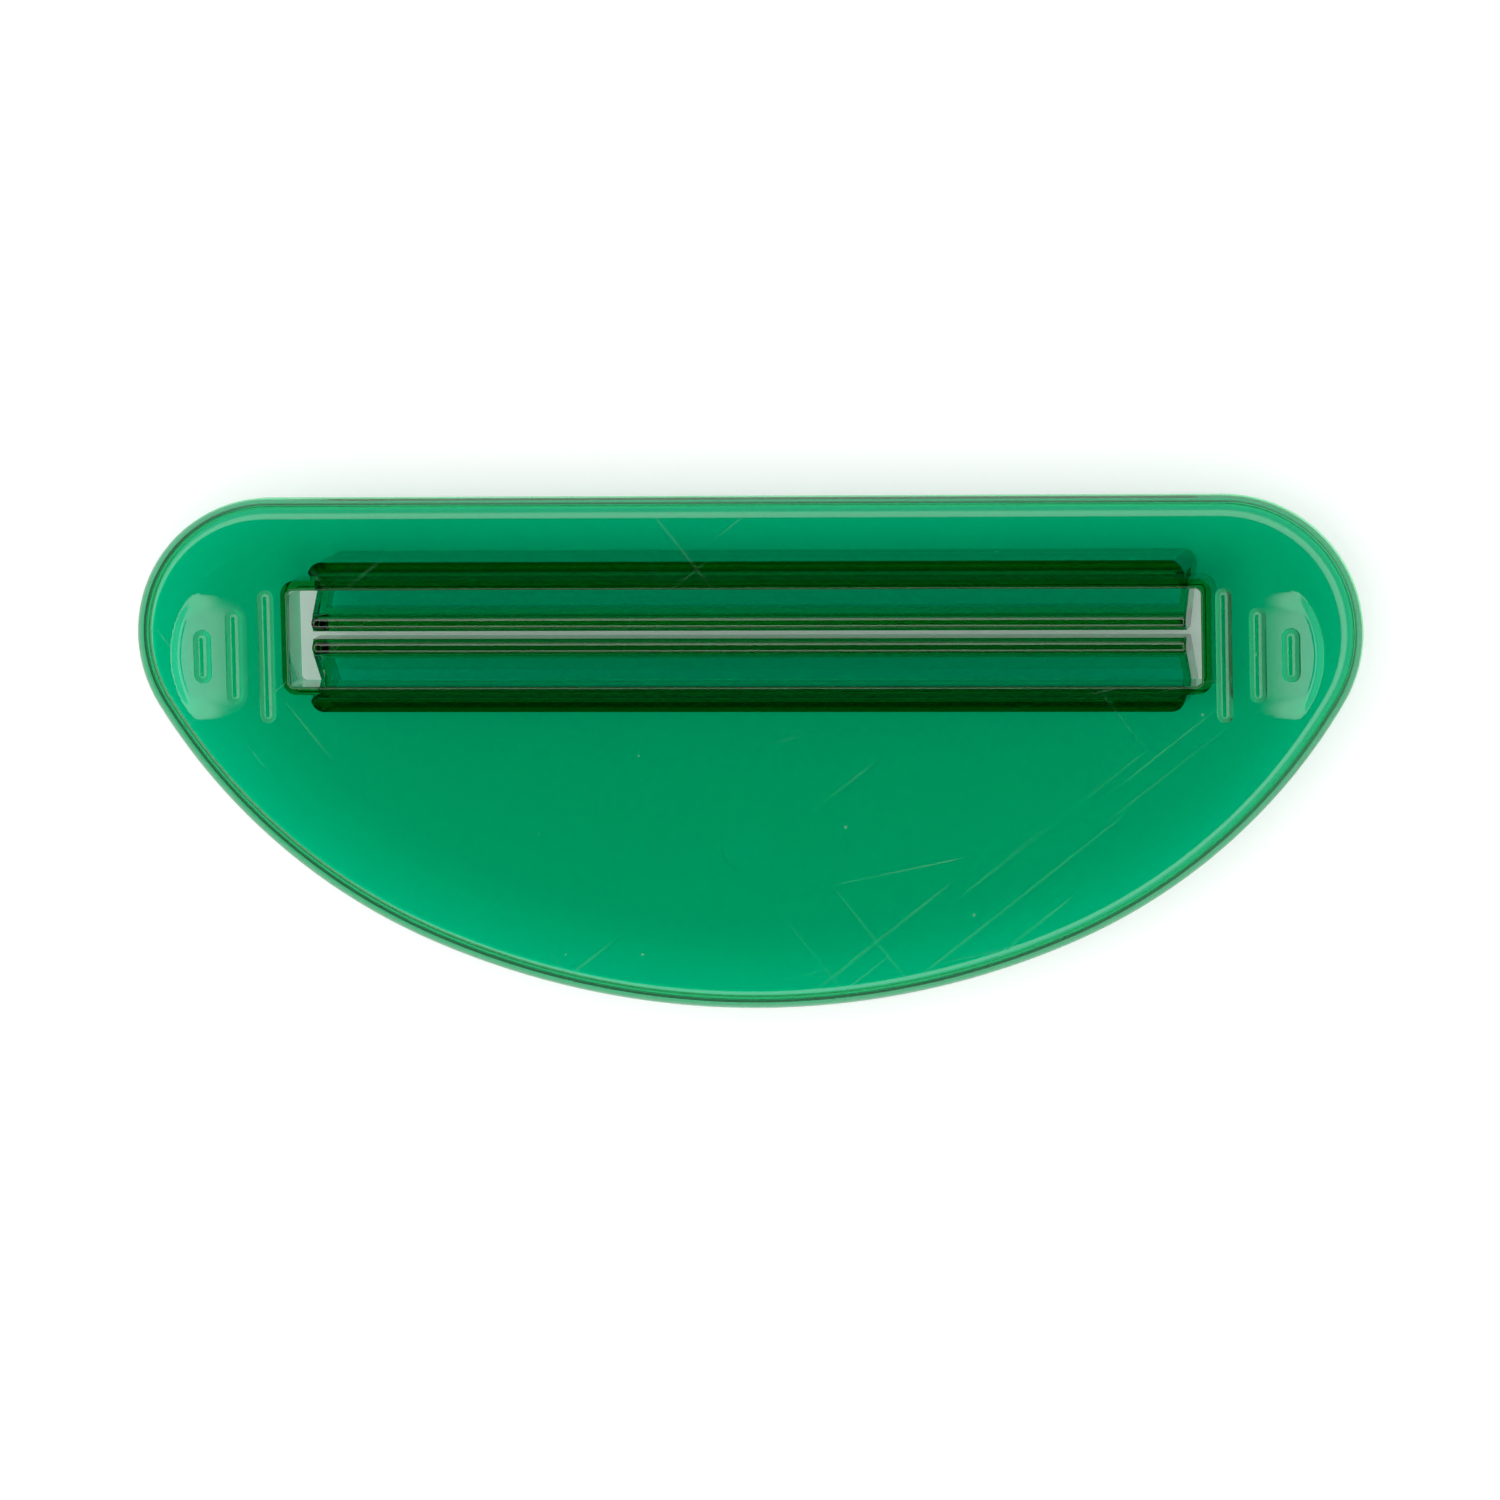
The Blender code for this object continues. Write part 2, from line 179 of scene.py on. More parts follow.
def aim_camera():
    """A still camera whose picture is as wide as PICTURE_WIDTH at the height of the face."""
    place = Vector((CAMERA_X, CAMERA_Y, FACE_HEIGHT + CAMERA_ABOVE_FACE))
    camera = bpy.data.objects.new("camera", bpy.data.cameras.new("camera"))
    bpy.context.collection.objects.link(camera)
    towards = Vector((AIM_X, AIM_Y, FACE_HEIGHT)) - place
    back = -towards.normalized()
    right = Vector((0.0, 1.0, 0.0)).cross(back).normalized()
    level_turn = Matrix((right, back.cross(right), back)).transposed()
    turn = level_turn @ Matrix.Rotation(CAMERA_TURN, 3, "Z")
    camera.matrix_world = Matrix.LocRotScale(place, turn.to_quaternion(), None)
    camera.data.sensor_width = SENSOR_WIDTH
    camera.data.lens = SENSOR_WIDTH * towards.length / PICTURE_WIDTH
    camera.data.clip_start = 0.01
    camera.data.clip_end = 10.0
    bpy.context.scene.camera = camera


def arc(centre, radius, start, end, steps):
    """Points of an arc in a plane, both ends included, with angles in radians."""
    points = []
    for step in range(steps + 1):
        angle = start + (end - start) * step / steps
        points.append((centre[0] + radius * math.cos(angle), centre[1] + radius * math.sin(angle)))
    return points


def belly_radius():
    """Radius of the belly arc at which corner, flank and belly meet tangent to each other."""
    share = 1 - FLANK_TO_BELLY_RADIUS
    across = share * math.sin(BELLY_HALF_ANGLE)
    along = 1 - share * math.cos(BELLY_HALF_ANGLE)
    corner_x = PLATE_LENGTH / 2 - CORNER_RADIUS
    corner_y = PLATE_WIDTH - CORNER_RADIUS
    square = across**2 + along**2 - FLANK_TO_BELLY_RADIUS**2
    linear = 2 * (FLANK_TO_BELLY_RADIUS * CORNER_RADIUS - corner_x * across - corner_y * along)
    plain = corner_x**2 + corner_y**2 - CORNER_RADIUS**2
    root = math.sqrt(linear**2 - 4 * square * plain)
    return (-linear - root) / (2 * square)


def outline(inset):
    """The plate's outline, drawn in by inset: up its left side, along the flat edge and round again."""
    belly = belly_radius()
    flank = belly * FLANK_TO_BELLY_RADIUS
    corner_centre = (PLATE_LENGTH / 2 - CORNER_RADIUS, FLAT_EDGE_Y - CORNER_RADIUS)
    belly_centre = (0.0, belly - PLATE_WIDTH / 2)
    flank_centre = (
        (belly - flank) * math.sin(BELLY_HALF_ANGLE),
        belly_centre[1] - (belly - flank) * math.cos(BELLY_HALF_ANGLE),
    )
    flank_end = math.atan2(corner_centre[1] - flank_centre[1], corner_centre[0] - flank_centre[0])
    down = -math.pi / 2
    belly_end = down + BELLY_HALF_ANGLE
    right = arc(belly_centre, belly - inset, down, belly_end, BELLY_STEPS)
    right += arc(flank_centre, flank - inset, belly_end, flank_end, FLANK_STEPS)[1:]
    right += arc(corner_centre, CORNER_RADIUS - inset, flank_end, math.pi / 2, CORNER_STEPS)[1:]
    left = [(-x, y) for x, y in reversed(right[1:])]
    return left + right


def roll(inset, drop):
    """(inset, height) pairs down a quarter ellipse, which starts at the level part, drop under the face."""
    points = []
    for along, up in arc((0.0, 0.0), 1.0, math.pi / 2, math.pi, ROLL_STEPS):
        height = FACE_HEIGHT - ROLL_HEIGHT + up * (ROLL_HEIGHT - drop)
        points.append((ROLL_WIDTH + along * (ROLL_WIDTH - inset), height))
    return points


def rim_section():
    """(inset, height) pairs from the back of the plate, round its rim, to its face."""
    foot = RIM_FOOT_HEIGHT + RIM_FOOT_ROUND
    quarter = math.pi / 2
    section = roll(RIM_WALL, PLATE_WALL)
    section += arc((RIM_WALL - RIM_FOOT_ROUND, foot), RIM_FOOT_ROUND, 0.0, -quarter, ROUND_STEPS)
    section += arc((RIM_FOOT_ROUND, foot), RIM_FOOT_ROUND, -quarter, -math.pi, ROUND_STEPS)
    section += reversed(roll(0.0, 0.0))
    return section


def add_loft(mesh, rings):
    """A closed body through rings of points that have the same number of points each."""
    loops = [[mesh.verts.new(point) for point in ring] for ring in rings]
    for lower, upper in zip(loops, loops[1:]):
        for here in range(len(lower)):
            after = (here + 1) % len(lower)
            mesh.faces.new((lower[here], lower[after], upper[after], upper[here]))
    mesh.faces.new(loops[0])
    mesh.faces.new(loops[-1])


def level(points, height):
    return [(x, y, height) for x, y in points]


def add_object(name, mesh):
    bmesh.ops.recalc_face_normals(mesh, faces=mesh.faces)
    data = bpy.data.meshes.new(name)
    mesh.to_mesh(data)
    mesh.free()
    made = bpy.data.objects.new(name, data)
    bpy.context.collection.objects.link(made)
    return made


def lofted(name, rings):
    mesh = bmesh.new()
    add_loft(mesh, rings)
    return add_object(name, mesh)


def combine(base, tool, operation):
    """Join or cut base with tool, keep the result as plain mesh and drop the tool."""
    modifier = base.modifiers.new(tool.name, "BOOLEAN")
    modifier.operation = operation
    modifier.solver = "EXACT"
    modifier.object = tool
    shown = base.evaluated_get(bpy.context.evaluated_depsgraph_get())
    result = bpy.data.meshes.new_from_object(shown)
    base.modifiers.clear()
    base.data = result
    bpy.data.objects.remove(tool)


def slot_outline(grow):
    """The slot's rounded rectangle, made larger by grow on every side."""
    radius = SLOT_CORNER_RADIUS + grow
    x = SLOT_LENGTH / 2 - SLOT_CORNER_RADIUS
    y = SLOT_WIDTH / 2 - SLOT_CORNER_RADIUS
    points = []
    for quarter, (side_x, side_y) in enumerate(((1, 1), (-1, 1), (-1, -1), (1, -1))):
        start = quarter * math.pi / 2
        centre = (side_x * x, SLOT_Y + side_y * y)
        points += arc(centre, radius, start, start + math.pi / 2, ROUND_STEPS)
    return points


def slot_cutter():
    """The slot's hole, flared a little at the face and at the foot of the collar."""
    rings = [level(slot_outline(COLLAR_FOOT_ROUND), COLLAR_FOOT_HEIGHT - OVERRUN)]
    for step in range(ROUND_STEPS + 1):
        angle = math.pi / 2 * step / ROUND_STEPS
        grow = COLLAR_FOOT_ROUND * (1 - math.sin(angle))
        height = COLLAR_FOOT_HEIGHT + COLLAR_FOOT_ROUND * (1 - math.cos(angle))
        rings.append(level(slot_outline(grow), height))
    for step in range(ROUND_STEPS + 1):
        angle = math.pi / 2 * step / ROUND_STEPS
        grow = SLOT_EDGE_ROUND * (1 - math.cos(angle))
        rings.append(level(slot_outline(grow), FACE_HEIGHT - SLOT_EDGE_ROUND * (1 - math.sin(angle))))
    rings.append(level(slot_outline(SLOT_EDGE_ROUND), FACE_HEIGHT + OVERRUN))
    return lofted("slot_cutter", rings)


def collar_block():
    """The collar before the slot is cut through it, with its top sunk into the plate."""
    rings = []
    for step in range(ROUND_STEPS + 1):
        angle = math.pi / 2 * step / ROUND_STEPS
        grow = COLLAR_WALL - COLLAR_FOOT_ROUND * (1 - math.sin(angle))
        height = COLLAR_FOOT_HEIGHT + COLLAR_FOOT_ROUND * (1 - math.cos(angle))
        rings.append(level(slot_outline(grow), height))
    rings.append(level(slot_outline(COLLAR_WALL), BACK_HEIGHT + OVERRUN))
    return lofted("collar_block", rings)


def ledges():
    """A ledge on the outside of each long wall of the collar, which the beads of the jaws hook over."""
    top = ROOT_HEIGHT - BEAD_RADIUS - ROOT_GAP
    end = JAW_LENGTH / 2
    inner = COLLAR_REACH - COLLAR_WALL / 2
    mesh = bmesh.new()
    for side in (1, -1):
        low_y = SLOT_Y + side * inner
        high_y = SLOT_Y + side * LEDGE_EDGE
        corners = ((-end, low_y), (end, low_y), (end, high_y), (-end, high_y))
        add_loft(mesh, [level(corners, top - LEDGE_HEIGHT), level(corners, top)])
    return add_object("ledges", mesh)


def rib_outline(middle_x, half_length, half_thickness):
    """Outline of a bar with round ends that runs along Y."""
    straight = half_length - half_thickness
    points = arc((middle_x, GRIP_Y + straight), half_thickness, 0.0, math.pi, RIB_END_STEPS)
    return points + arc((middle_x, GRIP_Y - straight), half_thickness, math.pi, 2 * math.pi, RIB_END_STEPS)


def grip_ribs():
    """Three bars with round ends and domed tops at each end of the plate."""
    half = RIB_THICKNESS / 2
    shoulder = FACE_HEIGHT - RIB_SHOULDER_DEPTH
    dome_height = RIB_RISE + RIB_SHOULDER_DEPTH
    mesh = bmesh.new()
    for side in (1, -1):
        for place, length in enumerate(RIB_LENGTHS):
            middle_x = side * (FIRST_RIB_X + place * RIB_PITCH)
            rings = [level(rib_outline(middle_x, length / 2, half), FACE_HEIGHT - RIB_ROOT_DEPTH)]
            for step in range(ROUND_STEPS + 1):
                angle = RIB_DOME_ANGLE * step / ROUND_STEPS
                inset = half * (1 - math.cos(angle))
                points = rib_outline(middle_x, length / 2 - inset, half - inset)
                rings.append(level(points, shoulder + dome_height * math.sin(angle)))
            add_loft(mesh, rings)
    return add_object("grip_ribs", mesh)


def soft_step(share):
    """Runs smoothly from 0 to 1 while share goes from 0 to 1."""
    share = min(max(share, 0.0), 1.0)
    return share * share * (3 - 2 * share)


def scoop_depth(x, y):
    """How far a scoop sinks under the face at a place beside its middle line."""
    roll_depth = SCOOP_ROLL_RADIUS - math.sqrt(SCOOP_ROLL_RADIUS**2 - (x - FIRST_RIB_X) ** 2)
    end_x = PLATE_LENGTH / 2 - SCOOP_TO_EDGE - y**2 / (2 * SCOOP_END_RADIUS)
    end = soft_step((end_x - x) / SCOOP_SOFT_END + 0.5)
    side = soft_step((SCOOP_WIDTH / 2 + SCOOP_SOFT_SIDE / 2 - abs(y)) / SCOOP_SOFT_SIDE)
    return roll_depth * end * side


def scoop_cutter():
    """Two scoops, one at each grip, that sink softly into the face towards the ends of the plate."""
    top = FACE_HEIGHT + OVERRUN
    length = PLATE_LENGTH / 2 - SCOOP_TO_EDGE + SCOOP_SOFT_END - FIRST_RIB_X
    width = SCOOP_WIDTH + SCOOP_SOFT_SIDE
    mesh = bmesh.new()
    for side in (1, -1):
        rings = []
        for step in range(SCOOP_STEPS + 1):
            x = FIRST_RIB_X + length * step / SCOOP_STEPS
            ring = [(side * x, GRIP_Y + width / 2, top), (side * x, GRIP_Y - width / 2, top)]
            for across in range(SCOOP_STEPS + 1):
                y = width * (across / SCOOP_STEPS - 0.5)
                ring.append((side * x, GRIP_Y + y, FACE_HEIGHT + SCOOP_LIFT - scoop_depth(x, y)))
            rings.append(ring)
        add_loft(mesh, rings)
    return add_object("scoop_cutter", mesh)


def gate_mark_cutter():
    middle = (0.0, SLOT_Y - GATE_MARK_BELOW_SLOT)
    points = arc(middle, GATE_MARK_RADIUS, 0.0, 2 * math.pi, CIRCLE_STEPS)[1:]
    rings = [level(points, BACK_HEIGHT - OVERRUN), level(points, BACK_HEIGHT + GATE_MARK_DEPTH)]
    return lofted("gate_mark_cutter", rings)


def dress(made, node, body, material):
    """Shade a piece smooth between its sharp edges, colour it, hang it under its body's empty and hide the
    CAD node that it stands in for.
    """
    made.data.materials.clear()
    made.data.materials.append(material)
    made.data.shade_smooth()
    made.data.set_sharp_from_angle(angle=SMOOTH_ANGLE)
    weighted = made.modifiers.new("flat_faces_stay_flat", "WEIGHTED_NORMAL")
    weighted.mode = "FACE_AREA"
    weighted.keep_sharp = True
    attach(made, body)
    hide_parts(node)


def plate_moulding():
    plate = lofted("plate_moulding", [level(outline(inset), height) for inset, height in rim_section()])
    combine(plate, scoop_cutter(), "DIFFERENCE")
    combine(plate, grip_ribs(), "UNION")
    combine(plate, collar_block(), "UNION")
    combine(plate, ledges(), "UNION")
    combine(plate, slot_cutter(), "DIFFERENCE")
    combine(plate, gate_mark_cutter(), "DIFFERENCE")
    return plate


def floor_height(reach):
    """Height of the top of a jaw's floor at a distance from the middle of the slit."""
    return FLOOR_EDGE_HEIGHT + (SLOT_WIDTH / 2 - reach) * FLOOR_SLOPE


def jaw_section():
    """(reach, height) points: over the lip, down the gusset's edge, up the outer wall and round the bead."""
    quarter = math.pi / 2
    lip_front = SLIT_WIDTH / 2
    back_edge = (LIP_BACK - LIP_EDGE_ROUND, LIP_TOP_HEIGHT - LIP_EDGE_ROUND)
    front_edge = (lip_front + LIP_EDGE_ROUND, LIP_TOP_HEIGHT - LIP_EDGE_ROUND)
    nose = (lip_front + LIP_NOSE_ROUND, LIP_FOOT_HEIGHT + LIP_NOSE_ROUND)
    slope = math.atan2(LIP_FOOT_HEIGHT, FOOT_EDGE - nose[0])
    section = arc(back_edge, LIP_EDGE_ROUND, 0.0, quarter, ROUND_STEPS)
    section += arc(front_edge, LIP_EDGE_ROUND, quarter, math.pi, ROUND_STEPS)
    section += arc(nose, LIP_NOSE_ROUND, math.pi, 3 * quarter - slope, ROUND_STEPS)
    section.append((FOOT_EDGE, 0.0))
    section += arc((JAW_REACH - FOOT_ROUND, FOOT_ROUND), FOOT_ROUND, -quarter, 0.0, ROUND_STEPS)
    section.append((JAW_REACH, ROOT_HEIGHT + BEAD_RADIUS))
    section += arc((ROOT_REACH, ROOT_HEIGHT), BEAD_RADIUS, quarter, 3 * quarter, 2 * ROUND_STEPS)
    section.append((ROOT_REACH, floor_height(ROOT_REACH)))
    section.append((LIP_BACK, floor_height(LIP_BACK)))
    return section


def jaw_hollow_section():
    """(reach, height) points of the room under a jaw's floor, between its gussets."""
    return [
        (ROOT_REACH, floor_height(ROOT_REACH) - FLOOR_DROP),
        (ROOT_REACH, -OVERRUN),
        (LIP_BACK, -OVERRUN),
        (LIP_BACK, floor_height(LIP_BACK) - FLOOR_DROP),
    ]


def jaw_prism(section, side, half_length):
    """A section run along X on one side of the slit."""
    mesh = bmesh.new()
    ends = []
    for x in (-half_length, half_length):
        ends.append([(x, SLOT_Y + side * reach, height) for reach, height in section])
    add_loft(mesh, ends)
    return mesh


def jaw_corner_cutter(name, side):
    """Takes the outer corner off both ends of a jaw, which are round when seen from above."""
    mesh = bmesh.new()
    start = JAW_REACH - JAW_CORNER_RADIUS
    for end in (1, -1):
        corner = [(JAW_LENGTH / 2 + OVERRUN, JAW_REACH + OVERRUN), (JAW_LENGTH / 2 + OVERRUN, start)]
        middle = (JAW_LENGTH / 2 - JAW_CORNER_RADIUS, start)
        corner += arc(middle, JAW_CORNER_RADIUS, 0.0, math.pi / 2, 2 * ROUND_STEPS)
        corner.append((middle[0], JAW_REACH + OVERRUN))
        points = [(end * x, SLOT_Y + side * reach) for x, reach in corner]
        add_loft(mesh, [level(points, -OVERRUN), level(points, FACE_HEIGHT)])
    return add_object(name, mesh)


def jaw_moulding(name, side):
    body = jaw_prism(jaw_section(), side, JAW_LENGTH / 2)
    rims = [edge for edge in body.edges if edge.verts[0].co.x == edge.verts[1].co.x]
    bmesh.ops.bevel(
        body, geom=rims, offset=JAW_END_ROUND, segments=ROUND_STEPS, profile=0.5, affect="EDGES"
    )
    made = add_object(name, body)
    hollow = jaw_prism(jaw_hollow_section(), side, JAW_LENGTH / 2 - JAW_END_WALL)
    combine(made, add_object(name + "_hollow", hollow), "DIFFERENCE")
    combine(made, jaw_corner_cutter(name + "_corners", side), "DIFFERENCE")
    return made


def node_tools(tree):
    """Three short ways to build a node tree: feed a socket, add a sum, and add a smooth ramp."""

    def feed(socket, value):
        if isinstance(value, bpy.types.NodeSocket):
            tree.links.new(value, socket)
        else:
            socket.default_value = value

    def maths(operation, first, second=0.0):
        node = tree.nodes.new("ShaderNodeMath")
        node.operation = operation
        feed(node.inputs[0], first)
        feed(node.inputs[1], second)
        return node.outputs[0]

    def ramp(value, start, end, first=0.0, last=1.0):
        node = tree.nodes.new("ShaderNodeMapRange")
        node.interpolation_type = "SMOOTHSTEP"
        feed(node.inputs["Value"], value)
        feed(node.inputs["From Min"], start)
        feed(node.inputs["From Max"], end)
        feed(node.inputs["To Min"], first)
        feed(node.inputs["To Max"], last)
        return node.outputs["Result"]

    return feed, maths, ramp


def moulding_marks():
    """Fine scratches, specks and slow flow waves, as a roughness and a height over the surface."""
    group = bpy.data.node_groups.new("moulding_marks", "ShaderNodeTree")
    for name, value in (("Roughness", 0.03), ("Scratches", 0.5), ("Specks", 0.5), ("Flow", 0.5)):
        socket = group.interface.new_socket(name, in_out="INPUT", socket_type="NodeSocketFloat")
        socket.default_value = value
    for name in ("Roughness", "Height"):
        group.interface.new_socket(name, in_out="OUTPUT", socket_type="NodeSocketFloat")
    nodes = group.nodes
    links = group.links
    given = nodes.new("NodeGroupInput")
    result = nodes.new("NodeGroupOutput")
    place = nodes.new("ShaderNodeTexCoord").outputs["Object"]

    feed, maths, ramp = node_tools(group)

    def noise(scale, detail, turn=0.0, stretch=(1.0, 1.0, 1.0)):
        """Noise with scale patches per metre, drawn out along a line at an angle to the plate's length."""
        mapping = nodes.new("ShaderNodeMapping")
        mapping.vector_type = "TEXTURE"
        mapping.inputs["Rotation"].default_value = (0.0, 0.0, turn)
        mapping.inputs["Scale"].default_value = stretch
        links.new(place, mapping.inputs["Vector"])
        texture = nodes.new("ShaderNodeTexNoise")
        texture.inputs["Scale"].default_value = scale
        texture.inputs["Detail"].default_value = detail
        links.new(mapping.outputs["Vector"], texture.inputs["Vector"])
        return texture.outputs["Fac"]

    scratches = 0.0
    for turn, level_of_lines in SCRATCHES:
        lines = noise(SCRATCH_LINES, 1.0, turn, SCRATCH_STRETCH)
        scratches = maths("MAXIMUM", ramp(lines, level_of_lines, level_of_lines + SCRATCH_EDGE), scratches)
    worn = ramp(noise(WEAR_PATCHES, 2.0), *WORN_LEVELS)
    scratches = maths("MULTIPLY", maths("MULTIPLY", scratches, worn), given.outputs["Scratches"])
    cells = nodes.new("ShaderNodeTexVoronoi")
    cells.inputs["Scale"].default_value = SPECK_CELLS
    links.new(place, cells.inputs["Vector"])
    chosen = nodes.new("ShaderNodeSeparateXYZ")
    links.new(cells.outputs["Color"], chosen.inputs[0])
    dots = maths("SUBTRACT", 1.0, ramp(cells.outputs["Distance"], *SPECK_RADII))
    specks = maths("MULTIPLY", dots, maths("GREATER_THAN", chosen.outputs["X"], SPECK_EMPTY_SHARE))
    specks = maths("MULTIPLY", specks, given.outputs["Specks"])
    waves = maths("MULTIPLY", noise(FLOW_WAVES, 1.5, 0.0, FLOW_STRETCH), given.outputs["Flow"])
    marks = maths("ADD", scratches, specks)
    feed(result.inputs["Height"], maths("SUBTRACT", waves, marks))
    uneven = maths("MULTIPLY", noise(HAZE_PATCHES, 3.0), HAZE_ROUGHNESS)
    plain = maths("ADD", given.outputs["Roughness"], uneven)
    rough = maths("ADD", plain, maths("MULTIPLY", marks, MARK_ROUGHNESS))
    feed(result.inputs["Roughness"], rough)
    return group


def green_plastic(name, marks, scratches, specks, flow):
    """See-through green plastic. Most of its colour builds up with the thickness of the wall."""
    material = bpy.data.materials.new(name)
    material.use_nodes = True
    nodes = material.node_tree.nodes
    links = material.node_tree.links
    shader = nodes["Principled BSDF"]
    shader.inputs["Base Color"].default_value = (*SURFACE_TINT, 1.0)
    shader.inputs["Metallic"].default_value = 0.0
    shader.inputs["Transmission Weight"].default_value = 1.0
    shader.inputs["IOR"].default_value = PLASTIC_REFRACTION
    shader.inputs["Specular IOR Level"].default_value = SURFACE_SHINE
    wear = nodes.new("ShaderNodeGroup")
    wear.node_tree = marks
    values = {"Roughness": PLASTIC_ROUGHNESS, "Scratches": scratches, "Specks": specks, "Flow": flow}
    for socket, value in values.items():
        wear.inputs[socket].default_value = value
    links.new(wear.outputs["Roughness"], shader.inputs["Roughness"])
    bump = nodes.new("ShaderNodeBump")
    bump.inputs["Distance"].default_value = MARK_DEPTH
    links.new(wear.outputs["Height"], bump.inputs["Height"])
    links.new(bump.outputs["Normal"], shader.inputs["Normal"])
    red, green, blue = (-math.log(share) / PLATE_WALL for share in SHARE_THROUGH_WALL)
    absorption = nodes.new("ShaderNodeVolumeAbsorption")
    absorption.inputs["Density"].default_value = red
    absorption.inputs["Color"].default_value = (0.0, 1 - green / red, 1 - blue / red, 1.0)
    links.new(absorption.outputs["Volume"], nodes["Material Output"].inputs["Volume"])
    return material


def table_top():
    """A plain white table with a little glow, so that it shows white, and less glow under the slot as painted
    shade.
    """
    mesh = bmesh.new()
    corners = ((-1, -1), (1, -1), (1, 1), (-1, 1))
    mesh.faces.new([mesh.verts.new((x * TABLE_HALF, y * TABLE_HALF, 0.0)) for x, y in corners])
    top = add_object("table_top", mesh)
    material = bpy.data.materials.new("table_white")
    material.use_nodes = True
    nodes = material.node_tree.nodes
    feed, maths, ramp = node_tools(material.node_tree)

    def vector_maths(operation, first, second=(0.0, 0.0, 0.0)):
        node = nodes.new("ShaderNodeVectorMath")
        node.operation = operation
        feed(node.inputs[0], first)
        feed(node.inputs[1], second)
        return node

    shader = nodes["Principled BSDF"]
    shader.inputs["Base Color"].default_value = TABLE_WHITE
    shader.inputs["Roughness"].default_value = 1.0
    shader.inputs["Emission Color"].default_value = (1.0, 1.0, 1.0, 1.0)
    rays = nodes.new("ShaderNodeLightPath")
    seen = maths("MAXIMUM", rays.outputs["Is Camera Ray"], rays.outputs["Is Glossy Ray"])
    seen = maths("MAXIMUM", seen, rays.outputs["Is Transmission Ray"])
    place = nodes.new("ShaderNodeTexCoord").outputs["Object"]
    from_slot = vector_maths("SUBTRACT", place, (0.0, SLOT_Y, 0.0)).outputs[0]
    reach = vector_maths("ABSOLUTE", from_slot).outputs[0]
    past_slot = vector_maths("SUBTRACT", reach, (SLOT_LENGTH / 2, SLOT_WIDTH / 2, 0.0)).outputs[0]
    outside = vector_maths("MAXIMUM", past_slot).outputs[0]
    distance = vector_maths("LENGTH", outside).outputs["Value"]
    # Painted shade: the glow drops to a lower level under the slot, darkening the table seen through and
    # beside it
    glow_with_painted_shade = ramp(distance, 0.0, PAINTED_SHADE_FADE, PAINTED_SHADE_LIFT, TABLE_LIFT)
    feed(shader.inputs["Emission Strength"], maths("MULTIPLY", seen, glow_with_painted_shade))
    top.data.materials.append(material)


def light_studio():
    """A white backdrop all round, a softbox overhead with a dark gap for the camera, dim walls between."""
    world = bpy.data.worlds.new("studio")
    bpy.context.scene.world = world
    world.use_nodes = True
    nodes = world.node_tree.nodes
    feed, maths, ramp = node_tools(world.node_tree)
    split = nodes.new("ShaderNodeSeparateXYZ")
    feed(split.inputs[0], nodes.new("ShaderNodeTexCoord").outputs["Generated"])
    height = maths("MAXIMUM", split.outputs["Z"], HORIZON)
    slope_x = maths("DIVIDE", split.outputs["X"], height)
    slope_y = maths("DIVIDE", split.outputs["Y"], height)
    slope = maths("SQRT", maths("ADD", maths("POWER", slope_x, 2.0), maths("POWER", slope_y, 2.0)))
    past_x = maths("SUBTRACT", maths("ABSOLUTE", maths("SUBTRACT", slope_x, GAP_MIDDLE[0])), GAP_HALF[0])
    past_y = maths("SUBTRACT", maths("ABSOLUTE", maths("SUBTRACT", slope_y, GAP_MIDDLE[1])), GAP_HALF[1])
    gap = ramp(maths("MAXIMUM", past_x, past_y), 0.0, GAP_BLUR, 0.0, 1.0)
    softbox_end = SOFTBOX_SLOPE + SOFTBOX_BLUR
    softbox = ramp(slope, SOFTBOX_SLOPE, softbox_end, SOFTBOX_BRIGHTNESS, STUDIO_BRIGHTNESS)
    backdrop = ramp(split.outputs["Z"], *BACKDROP_HEIGHTS, 1.0, 0.0)
    brightness = maths("MAXIMUM", maths("MULTIPLY", gap, softbox), backdrop)
    feed(nodes["Background"].inputs["Strength"], brightness)
    nodes["Background"].inputs["Color"].default_value = (1.0, 1.0, 1.0, 1.0)


bpy.context.scene.view_settings.view_transform = "Standard"
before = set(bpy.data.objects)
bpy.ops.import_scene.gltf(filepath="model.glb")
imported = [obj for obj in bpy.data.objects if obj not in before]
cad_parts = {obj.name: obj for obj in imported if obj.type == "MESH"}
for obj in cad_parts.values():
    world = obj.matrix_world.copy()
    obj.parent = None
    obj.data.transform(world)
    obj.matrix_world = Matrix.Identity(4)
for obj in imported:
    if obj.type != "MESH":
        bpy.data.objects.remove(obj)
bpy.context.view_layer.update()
plate_low, plate_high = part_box("front_plate")

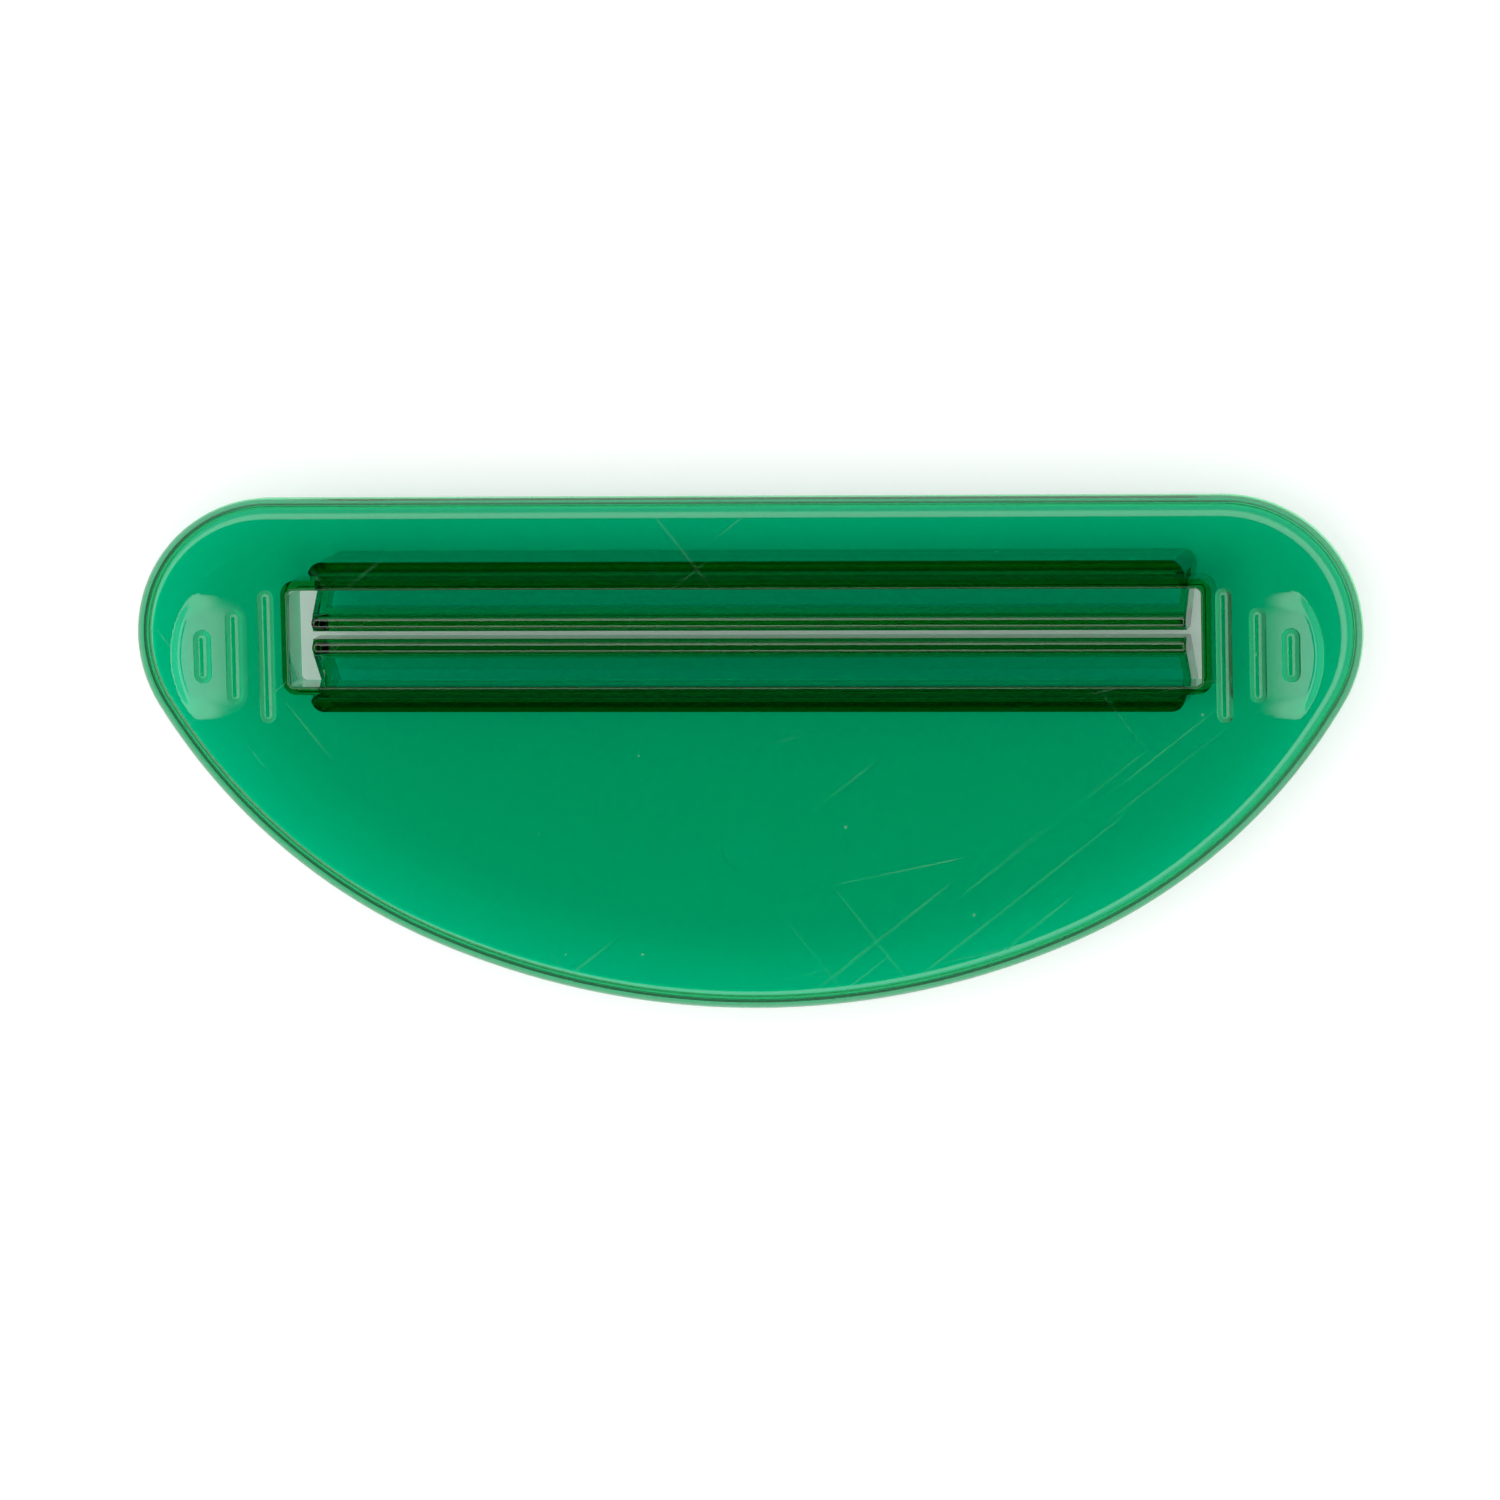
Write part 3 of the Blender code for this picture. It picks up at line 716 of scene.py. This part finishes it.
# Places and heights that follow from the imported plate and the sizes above
PLATE_LENGTH = plate_high.x - plate_low.x
PLATE_WIDTH = plate_high.y - plate_low.y
DOME_TOP = (RIB_RISE + RIB_SHOULDER_DEPTH) * math.sin(RIB_DOME_ANGLE)
FACE_HEIGHT = plate_high.z - DOME_TOP + RIB_SHOULDER_DEPTH
FLAT_EDGE_Y = plate_high.y
SLOT_Y = FLAT_EDGE_Y - SLOT_TO_FLAT_EDGE
GRIP_Y = SLOT_Y - GRIP_BELOW_SLOT
FIRST_RIB_X = SLOT_LENGTH / 2 + SLOT_TO_FIRST_RIB
BACK_HEIGHT = FACE_HEIGHT - PLATE_WALL
RIM_FOOT_HEIGHT = FACE_HEIGHT - RIM_HEIGHT
COLLAR_REACH = SLOT_WIDTH / 2 + COLLAR_WALL
COLLAR_FOOT_HEIGHT = BACK_HEIGHT - COLLAR_DEPTH
LEDGE_EDGE = COLLAR_REACH + LEDGE_REACH
JAW_LENGTH = SLOT_LENGTH - 2 * JAW_END_GAP
ROOT_REACH = LEDGE_EDGE + HOOK_GAP
ROOT_HEIGHT = BACK_HEIGHT - ROOT_GAP - BEAD_RADIUS
JAW_REACH = ROOT_REACH + JAW_WALL
LIP_TOP_HEIGHT = FACE_HEIGHT - LIP_BELOW_FACE
LIP_FOOT_HEIGHT = LIP_TOP_HEIGHT - LIP_HEIGHT
LIP_BACK = SLIT_WIDTH / 2 + LIP_WALL
FOOT_EDGE = JAW_REACH - FOOT_WIDTH
FLOOR_EDGE_HEIGHT = COLLAR_FOOT_HEIGHT - FLOOR_GAP
FLOOR_SLOPE = (LIP_TOP_HEIGHT - LIP_ABOVE_FLOOR - FLOOR_EDGE_HEIGHT) / (SLOT_WIDTH / 2 - LIP_BACK)
FLOOR_DROP = FLOOR_WALL * math.sqrt(1 + FLOOR_SLOPE**2)

aim_camera()
marks = moulding_marks()
plate_green = green_plastic("handled_green", marks, 0.15, 0.6, 1.0)
jaw_green = green_plastic("sheltered_green", marks, 0.2, 0.3, 0.5)
dress(plate_moulding(), "front_plate", "plate", plate_green)
for name, side in (("upper_jaw", 1), ("lower_jaw", -1)):
    dress(jaw_moulding(name + "_moulding", side), name, name, jaw_green)
table_top()
light_studio()
